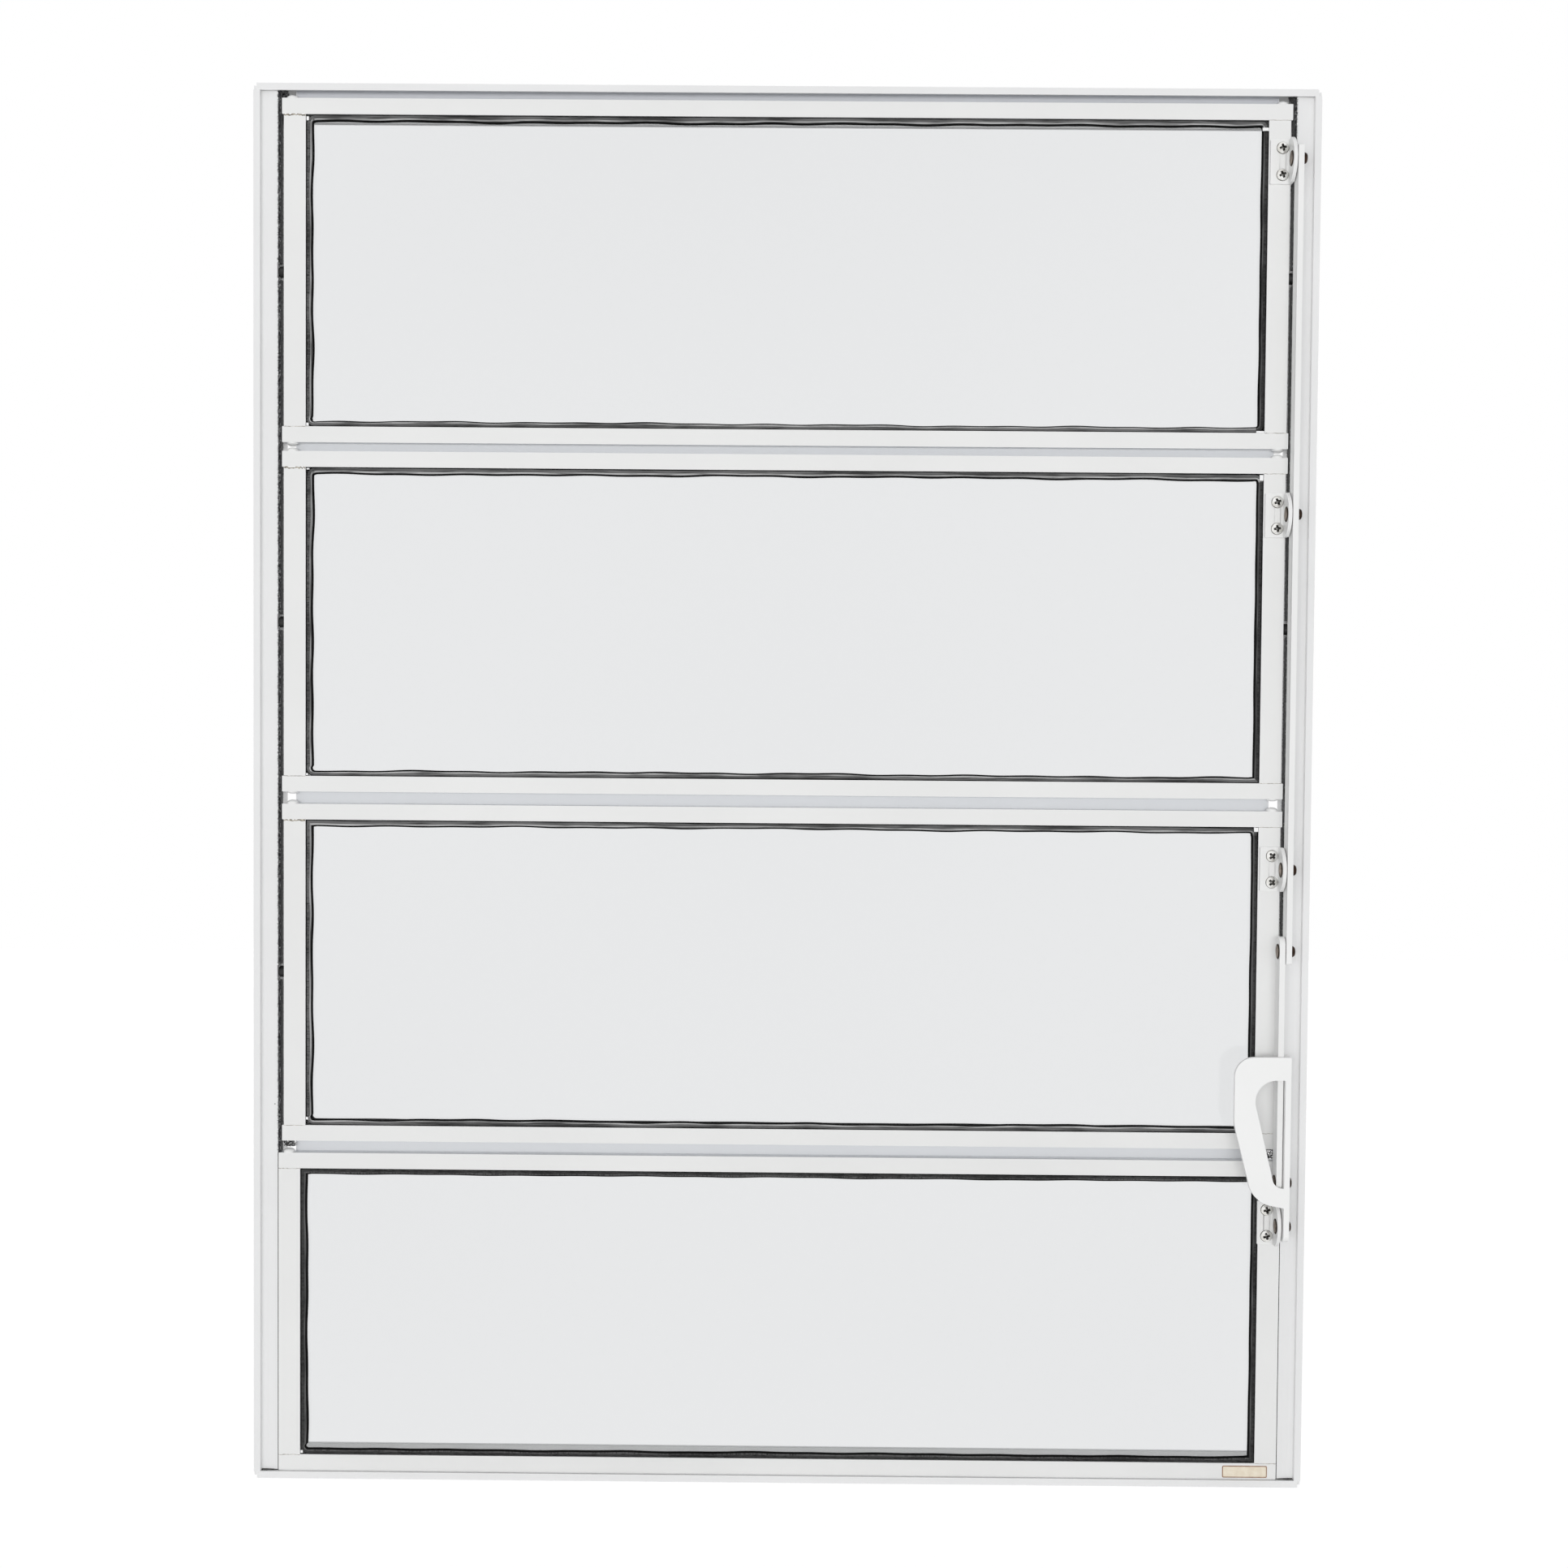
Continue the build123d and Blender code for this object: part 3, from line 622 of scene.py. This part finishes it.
def make_gaskets():
    for number, panel in enumerate(PANELS):
        rng = random.Random(20 + number)
        low, high = box_mm(f"{panel}_gasket")
        left, right = low[0] + GASKET_BITE, high[0] - GASKET_BITE
        bottom, top = low[2] + GASKET_BITE, high[2] - GASKET_BITE
        zones, front, back, slack = SASH_ZONES, FRONT_SHARES, BACK_SHARES, 1.0
        if panel == "fixed":
            zones, front, back, slack = FIXED_ZONES, FIXED_SHARES, FIXED_BACK_SHARES, 0.7
        rounded = {(side, end) for side, end, *_ in CORNER_BITS[panel]}
        stations = gasket_path(left, right, bottom, top, rounded)
        bm = bmesh.new()
        lip_loop(bm, FRONT_LIP, front, stations, zones, rng, slack)
        lip_loop(bm, BACK_LIP, back, stations, zones, rng, slack * 0.5)
        bmesh.ops.dissolve_degenerate(bm, dist=1e-7, edges=bm.edges)
        lips = add_piece(f"{panel}_gasket_lips", bm, "gasket_rubber", *RUBBERS, angle=50.0)
        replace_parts(lips, f"{panel}_gasket")
        bm = bmesh.new()
        for side, end, near, far, low_end, high_end in CORNER_BITS[panel]:
            stile = right if side > 0 else left
            rail = top if end > 0 else bottom
            slab(bm, (stile - side * near, stile - side * far), (-18.55, -17.6),
                 (rail - end * low_end, rail - end * high_end))
        # The corner bits are in the edge-highlight white, brighter than the frame paint.
        add_piece(f"{panel}_glazing_corners", bm, "white_aluminium", PAINT_EDGE_HIGHLIGHT)


def slab(bm, x_span, y_span, z_span):
    """A small block between three pairs of limits, in millimetres."""
    spans = [sorted(span) for span in (x_span, y_span, z_span)]
    middle = Vector([(low + high) / 2 for low, high in spans])
    size = Vector([high - low for low, high in spans])
    for vertex in bmesh.ops.create_cube(bm, size=1.0)["verts"]:
        vertex.co = (middle + vertex.co * size) * MM


# Brush pile

def fibre(bm, root, tip, width, lean, pale):
    """One strand, in millimetres: a narrow strip bent once, of dark fibre or of the paler kind among it."""
    middle = root.lerp(tip, 0.55) + lean
    side = Vector((0, 0, width))
    strip = (root - side, root + side, middle + side * 0.8, middle - side * 0.8)
    points = [bm.verts.new(p * MM) for p in strip]
    end = bm.verts.new(tip * MM)
    bm.faces.new(points).material_index = int(pale)
    bm.faces.new((points[3], points[2], end)).material_index = int(pale)


def make_pile():
    pivots = [sum(box_mm(f"{sash}_pivots")[k][2] for k in (0, 1)) / 2 for sash in SASHES]
    for name, side in (("left", -1), ("right", 1)):
        rng = random.Random(50 + side)
        low, high = box_mm(f"brush_pile_{name}")
        groove = max(abs(low[0]), abs(high[0]))
        tip = min(abs(low[0]), abs(high[0]))
        near, far = low[1] + PILE_MARGIN, high[1] - PILE_MARGIN
        breaks = sorted(p + s * PILE_BREAK / 2 for p in pivots for s in SIDES)
        ends = [low[2]] + breaks + [high[2]]
        bm = bmesh.new()
        for start, stop in zip(ends[::2], ends[1::2]):
            inside = start + 0.15, stop - 0.15
            slab(bm, (side * (tip + 0.9), side * groove), (near + 0.3, far - 0.3), inside)
            slab(bm, (side * (tip + 0.6), side * (groove - 2.45)), (near - PILE_SPREAD * 0.8, near + 0.6),
                 inside)
            for _ in range(int((stop - start) * PILE_DENSITY)):
                y = rng.uniform(near, far if rng.random() < DEEP_SHARE else near + PILE_FRONT)
                z = rng.uniform(start, stop)
                forward = rng.uniform(0.3, 1.0) * PILE_SPREAD if y < near + PILE_FRONT else 0.0
                reach = tip + rng.uniform(-0.05, 1.9 if forward else 0.6)
                root = Vector((side * (groove - 1.6), y, z))
                point = Vector((side * min(reach, groove - 2.4), y - forward, z + rng.gauss(0.0, 1.0)))
                lean = Vector((0, rng.gauss(-0.03, 0.06), rng.gauss(0, 0.12)))
                fibre(bm, root, point, rng.uniform(*STRAND_HALF_WIDTHS), lean, rng.random() < PALE_SHARE)
            for _ in range(int((stop - start) * FRINGE_DENSITY)):
                z = rng.uniform(start, stop)
                root = Vector((side * (COVE_EDGE - 0.5), COVE_FRONT + 0.3, z))
                across = side * (COVE_EDGE + rng.uniform(-0.2, 0.8))
                point = Vector((across, COVE_FRONT - 0.25, z + rng.gauss(0.0, 1.2)))
                lean = Vector((0, -0.1, 0))
                fibre(bm, root, point, rng.uniform(*STRAND_HALF_WIDTHS), lean, rng.random() < PALE_SHARE)
        strands = add_piece(f"brush_pile_{name}_strands", bm, "brush_pile", PILE, PALE_PILE)
        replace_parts(strands, f"brush_pile_{name}")


def make_tufts():
    """Loose pile at the ends of the gaps, under the head and over the fixed panel."""
    over, under = box_mm("sash_1_top_rail")[1][2], box_mm("fixed_top_rail")[1][2]
    spans = ((-1, COVE_EDGE - 4.6, COVE_EDGE - 0.2, over + 0.2, over + 5.0),
             (1, COVE_EDGE - 3.4, COVE_EDGE - 0.2, over + 0.2, over + 5.0),
             (-1, COVE_EDGE - 8.6, COVE_EDGE - 2.6, under + 2.9, under + 6.4),
             (1, COVE_EDGE - 8.6, COVE_EDGE - 2.6, under + 0.8, under + 6.4))
    rng = random.Random(71)
    bm = bmesh.new()
    for side, inner, outer, bottom, top in spans:
        for _ in range(TUFT_STRANDS):
            root = Vector((side * rng.uniform(inner, outer), rng.uniform(*TUFT_DEPTHS),
                           rng.uniform(bottom, top)))
            point = root + Vector((rng.gauss(0.0, 0.7), rng.uniform(-0.6, 0.1), rng.gauss(0.0, 0.7)))
            point.z = min(max(point.z, bottom), top)
            lean = Vector((0, rng.gauss(0, 0.1), 0))
            fibre(bm, root, point, rng.uniform(*TUFT_HALF_WIDTHS), lean, rng.random() < PALE_SHARE)
    add_piece("pile_tufts", bm, "brush_pile", PILE, PALE_PILE)


# Joint lines, painted seam shadows and the blank label

def joint_line(bm, ends, height, front, tall, rng):
    """One uneven level line, in millimetres, on a front face."""
    rings = []
    count = 14
    for k in range(count + 1):
        x = ends[0] + (ends[1] - ends[0]) * k / count
        half = rng.uniform(0.35, 1.0) * tall / 2
        proud = rng.uniform(0.02, 0.07)
        shift = rng.uniform(-0.25, 0.25) * tall
        section = ((0.05, shift - half), (-proud, shift - half * 0.5),
                   (-proud, shift + half * 0.5), (0.05, shift + half))
        rings.append([bm.verts.new(Vector((x, front + y, height + z)) * MM) for y, z in section])
    join_rings(bm, rings)
    bm.faces.new(rings[0])
    bm.faces.new(rings[-1])


def make_joint_lines():
    """Where a stile butts against its rails: sealant at the top left of a sash, else a fine line."""
    for number, panel in enumerate(PANELS):
        rng = random.Random(80 + number)
        low, high = box_mm(f"{panel}_stile_left")
        bm = bmesh.new()
        for side in SIDES:
            ends = side * (abs(low[0]) - 0.15), side * (abs(low[0]) - STILE_WIDTH + 0.15)
            upper = SEALANT_HEIGHT if side < 0 and panel != "fixed" else UPPER_LINE_HEIGHT
            for height, tall in ((high[2], upper), (low[2], LOWER_LINE_HEIGHT)):
                joint_line(bm, ends, height - tall / 3, low[1], tall, rng)
        add_piece(f"{panel}_joint_lines", bm, "white_aluminium", JOINT_LINE)


def make_fixed_seam_shadows():
    """Dark slabs of painted shadow: the lines beside the fixed panel and at the feet of the coves."""
    low, high = box_mm("fixed_bottom_rail")
    top = box_mm("fixed_top_rail")[1][2]
    bm = bmesh.new()
    for side in SIDES:
        slab(bm, (side * high[0], side * (high[0] + 0.45)), (low[1] + 0.25, low[1] + 0.6), (low[2], top))
        slab(bm, (side * (high[0] + 0.3), side * COVE_STEP), (low[1] + 0.15, low[1] + 1.6),
             (low[2] - 0.1, low[2] + 0.3))
    add_piece("fixed_seam_shadows", bm, "white_aluminium", SEAM_SHADOW)


def rounded_slab(bm, x, z, size, corner, back, front, material):
    """A thin slab with rounded corners, standing on a front face."""
    width, height = size
    rings = []
    for depth, inset in ((back, 0.0), (front + 0.02, 0.0), (front, 0.05)):
        ring = []
        for quarter, (sx, sz) in enumerate(((1, 1), (-1, 1), (-1, -1), (1, -1))):
            for k in range(5):
                angle = quarter * math.pi / 2 + k * math.pi / 8
                px = x + sx * (width / 2 - corner) + (corner - inset) * math.cos(angle)
                pz = z + sz * (height / 2 - corner) + (corner - inset) * math.sin(angle)
                ring.append(bm.verts.new(Vector((px, depth, pz)) * MM))
        rings.append(ring)
    join_rings(bm, rings, material)
    bm.faces.new(rings[0]).material_index = material
    bm.faces.new(rings[-1]).material_index = material


def make_label():
    """A small blank label on the bottom rail."""
    low, high = box_mm("fixed_bottom_rail")
    x, z = high[0] - LABEL_INSET, (low[2] + high[2]) / 2 - 0.3
    bm = bmesh.new()
    rounded_slab(bm, x, z, LABEL_SIZE, 0.8, low[1], low[1] - 0.10, 1)
    rounded_slab(bm, x, z, LABEL_FACE, 0.5, low[1] - 0.08, low[1] - 0.14, 0)
    add_piece("blank_label", bm, "white_aluminium", LABEL, LABEL_BORDER)


# Finishes of the frame's own pieces

def finish_of(node):
    if node.endswith("_glass"):
        return GLASS
    if node.endswith("_pivots"):
        return NYLON
    if node == "handle_lever":
        return PAINT_LEVER
    if node.endswith("_bracket") or node in ("drive_bar", "link_bar"):
        return PAINT_HARDWARE
    if node == "frame_head":
        return PAINT_HEAD
    return PAINT_FRAME if node.startswith("frame_") else PAINT_SASH


def soften(obj, width):
    """Rounds the hard edges of a frame piece a little, as extruding and coating leave them."""
    loaded_normals = obj.data.attributes.get("custom_normal")
    if loaded_normals:
        obj.data.attributes.remove(loaded_normals)
    obj.data.shade_flat()
    weld = obj.modifiers.new("weld", "WELD")
    weld.merge_threshold = 0.000001
    bevel = obj.modifiers.new("edges", "BEVEL")
    bevel.width = width * MM
    bevel.segments = 2
    bevel.limit_method = "ANGLE"
    bevel.angle_limit = math.radians(40)
    # The bevel faces take the edge paint, a painted highlight along every softened edge.
    obj.data.materials.append(PAINT_EDGE_HIGHLIGHT)
    bevel.material = 1


def dress_frame():
    for name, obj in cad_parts.items():
        material = finish_of(name)
        if not obj.material_slots:
            obj.data.materials.append(material)
        for entry in obj.material_slots:
            entry.material = material
        if material in (PAINT_FRAME, PAINT_HEAD, PAINT_SASH):
            soften(obj, FRAME_EDGE)
        elif material in (PAINT_HARDWARE, PAINT_LEVER):
            soften(obj, HARDWARE_EDGE)


# Room

def shader(tree, kind, **values):
    """A new shader node's output, with the values that are given."""
    node = tree.nodes.new(kind)
    for name, value in values.items():
        node.inputs[name].default_value = value
    return node.outputs[0]


def mixed(tree, factor, first, second):
    """The output of a mix of two shaders."""
    node = tree.nodes.new("ShaderNodeMixShader")
    for socket, source in zip(node.inputs, (factor, first, second)):
        tree.links.new(source, socket)
    return node.outputs[0]


def make_floor():
    """A floor that looks white and keeps the window's shadow, and is plain white in the glass."""
    mesh = bpy.data.meshes.new("studio_floor")
    corners = [(x * FLOOR_REACH, y * FLOOR_REACH, 0) for x, y in ((-1, -1), (1, -1), (1, 1), (-1, 1))]
    mesh.from_pydata(corners, [], [(0, 1, 2, 3)])
    floor = bpy.data.objects.new("studio_floor", mesh)
    floor.location.z = -FLOOR_GAP
    bpy.context.scene.collection.objects.link(floor)
    material = bpy.data.materials.new("floor_white")
    material.use_nodes = True
    tree = material.node_tree
    tree.nodes.clear()
    output = tree.nodes.new("ShaderNodeOutputMaterial")
    lit = shader(tree, "ShaderNodeBsdfDiffuse", Color=(0.9, 0.9, 0.9, 1))
    shaded = shader(tree, "ShaderNodeBsdfDiffuse", Color=(0.14, 0.14, 0.14, 1))
    white = shader(tree, "ShaderNodeEmission", Strength=0.93)
    both = tree.nodes.new("ShaderNodeAddShader")
    tree.links.new(white, both.inputs[0])
    tree.links.new(shaded, both.inputs[1])
    floor_look = mixed(tree, seen_directly(tree), lit, both.outputs[0])
    path = tree.nodes.new("ShaderNodeLightPath")
    plain = shader(tree, "ShaderNodeEmission")
    tree.links.new(mixed(tree, path.outputs["Is Glossy Ray"], floor_look, plain), output.inputs[0])
    mesh.materials.append(material)


def seen_directly(tree):
    """One for what the camera sees directly, in a reflection or through glass, else nought."""
    path = tree.nodes.new("ShaderNodeLightPath")
    seen = path.outputs["Is Camera Ray"]
    for name in ("Is Glossy Ray", "Is Transmission Ray"):
        node = tree.nodes.new("ShaderNodeMath")
        node.operation = "MAXIMUM"
        tree.links.new(seen, node.inputs[0])
        tree.links.new(path.outputs[name], node.inputs[1])
        seen = node.outputs[0]
    return seen


def make_world(strength):
    """Soft light all round, behind it a white that the camera sees."""
    world = bpy.data.worlds.new("studio")
    bpy.context.scene.world = world
    world.use_nodes = True
    tree = world.node_tree
    tree.nodes.clear()
    output = tree.nodes.new("ShaderNodeOutputWorld")
    light = shader(tree, "ShaderNodeBackground", Color=(0.985, 0.993, 1.0, 1), Strength=strength)
    white = shader(tree, "ShaderNodeBackground", Color=(1, 1, 1, 1))
    tree.links.new(mixed(tree, seen_directly(tree), light, white), output.inputs[0])


def make_lamp(name, place, target, size, power):
    lamp = bpy.data.lights.new(name, "AREA")
    lamp.shape = "RECTANGLE"
    lamp.size, lamp.size_y = size
    lamp.energy = power
    obj = bpy.data.objects.new(name, lamp)
    obj.location = place
    obj.rotation_euler = (Vector(place) - Vector(target)).to_track_quat("Z", "Y").to_euler()
    obj.visible_camera = False
    obj.visible_glossy = False
    obj.visible_transmission = False
    bpy.context.scene.collection.objects.link(obj)


def make_camera():
    data = bpy.data.cameras.new("camera")
    data.sensor_width = 36.0
    data.lens = 36.0 * FOCAL_SHARE
    camera = bpy.data.objects.new("camera", data)
    tilt, roll, turn = CAMERA_TURNS
    axes = Matrix.Rotation(turn, 3, "Z") @ Matrix.Rotation(tilt, 3, "X") @ Matrix.Rotation(roll, 3, "Y")
    right, forward, up = axes.col
    placed = Matrix((right, up, -forward)).transposed().to_4x4()
    placed.translation = Vector(CAMERA_PLACE) * MM
    camera.matrix_world = placed
    bpy.context.scene.collection.objects.link(camera)
    bpy.context.scene.camera = camera


dress_frame()
make_bracket_screws()
make_rail_screws()
make_rivets()
make_gaskets()
make_pile()
make_tufts()
make_joint_lines()
make_fixed_seam_shadows()
make_label()
make_floor()
make_world(0.55)
make_lamp("front_lamp", (-0.3, -3.8, 0.5), WINDOW_MIDDLE, (3.0, 0.94), 59.0)
make_lamp("back_lamp", (0.6, 3.4, 1.5), WINDOW_MIDDLE, (2.4, 1.6), 34.0)
make_camera()
bpy.context.scene.view_settings.view_transform = "Standard"
